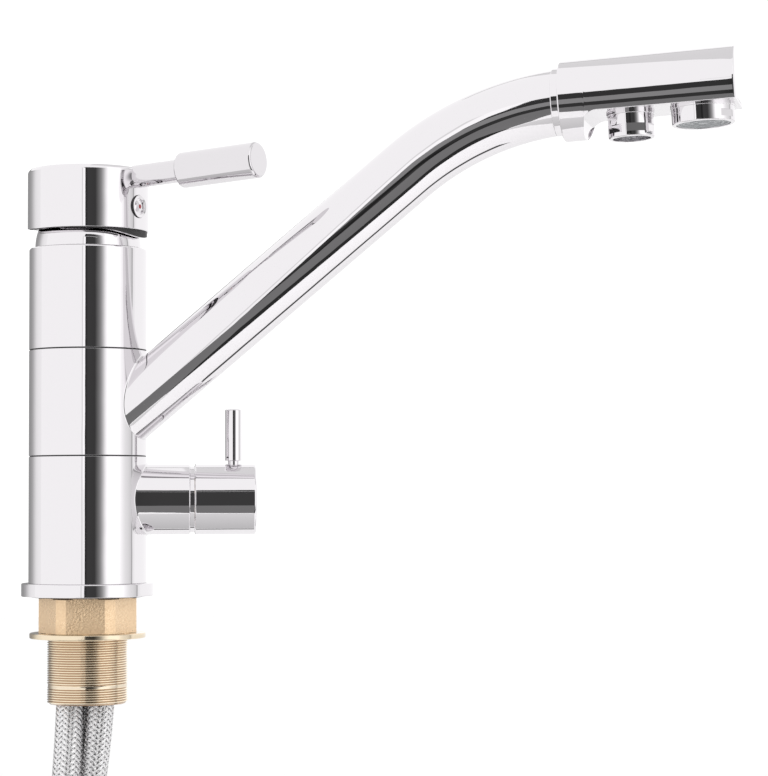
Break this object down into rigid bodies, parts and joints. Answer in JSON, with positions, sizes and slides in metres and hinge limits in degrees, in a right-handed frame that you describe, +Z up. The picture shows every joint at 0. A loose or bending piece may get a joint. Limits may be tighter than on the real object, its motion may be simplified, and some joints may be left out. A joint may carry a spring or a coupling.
{
  "type": "three way filtered water tap",
  "caption": "Deck-mounted kitchen mixer tap with a swivelling two-outlet spout, top lever, side valve for filtered water, threaded shank and braided hoses.",
  "frame": {"origin": "centre of the deck seat, the underside of the base ring", "axes": "+Z up, out of the worktop; +X along the side valve; -Y towards the user"},
  "size_m": [0.3222, 0.1561, 0.6569],
  "materials": {
    "chrome": "polished",
    "brass": "turned",
    "joint_line": "matt",
    "rubber": "matt",
    "white_plastic": "satin",
    "grey_plastic": "satin",
    "ceramic": "ground",
    "steel": "brushed",
    "braid": "braided wire",
    "indicator": "glossy"
  },
  "bodies": {
    "base": {"base_ring": "chrome", "base_body": "chrome", "upper_body": "chrome", "dome_cover": "chrome", "valve_collar": "chrome", "threaded_shank": "brass", "fixing_nut": "brass", "core_column": "brass", "cartridge_nut": "brass", "valve_headwork": "brass", "hose_tails": "brass", "lower_slide_ring": "joint_line", "upper_slide_ring": "joint_line", "base_gasket": "rubber", "core_seals": "rubber", "cartridge_housing": "white_plastic", "fixed_ceramic_disc": "ceramic", "fixed_valve_disc": "ceramic", "hot_hose": "braid", "hot_hose_nipple": "steel", "hot_hose_nut": "chrome", "cold_hose": "braid", "cold_hose_nipple": "steel", "cold_hose_nut": "chrome", "filter_hose": "braid", "filter_hose_nipple": "steel", "filter_hose_nut": "chrome"},
    "spout": {"swivel_section": "chrome", "spout_tube": "chrome", "filter_tube": "white_plastic", "spout_collar": "chrome", "outlet_head": "chrome", "filter_nozzle": "chrome", "nozzle_insert": "grey_plastic", "aerator_housing": "chrome", "aerator_insert": "grey_plastic"},
    "knob": {"filter_knob": "chrome", "filter_pin": "chrome", "valve_spindle": "brass", "moving_valve_disc": "ceramic"},
    "turret": {"cartridge_turret": "grey_plastic", "pivot_pin": "steel"},
    "carrier": {"disc_carrier": "white_plastic", "moving_ceramic_disc": "ceramic"},
    "lever": {"cartridge_stem": "steel", "lever_cap": "chrome", "lever_rod": "chrome", "lever_grip": "chrome", "grub_screw": "steel", "indicator_bezel": "chrome", "indicator_disc": "indicator"}
  },
  "joints": [
    {"name": "spout_swivel", "type": "hinge", "parent": "base", "child": "spout", "pos_m": [0, 0, 0.0635], "axis": [0, 0, 1], "continuous": true},
    {"name": "lever_turn", "type": "hinge", "parent": "base", "child": "turret", "pos_m": [0, 0, 0.148], "axis": [0, 0, 1], "range_deg": [-114, 0]},
    {"name": "lever_lift", "type": "hinge", "parent": "turret", "child": "lever", "pos_m": [0, 0, 0.148], "axis": [-0.5446, -0.8387, 0], "range_deg": [0, 20]},
    {"name": "disc_slide", "type": "slide", "parent": "turret", "child": "carrier", "axis": [0.8387, -0.5446, 0], "range_m": [0, 0.0063]},
    {"name": "filter_turn", "type": "hinge", "parent": "base", "child": "knob", "pos_m": [0.0618, 0, 0.0408], "axis": [1, 0, 0], "range_deg": [0, 90]}
  ],
  "couplings": [
    {"joint": "disc_slide", "follows": "lever_lift", "m_per_rad": 0.018}
  ]
}
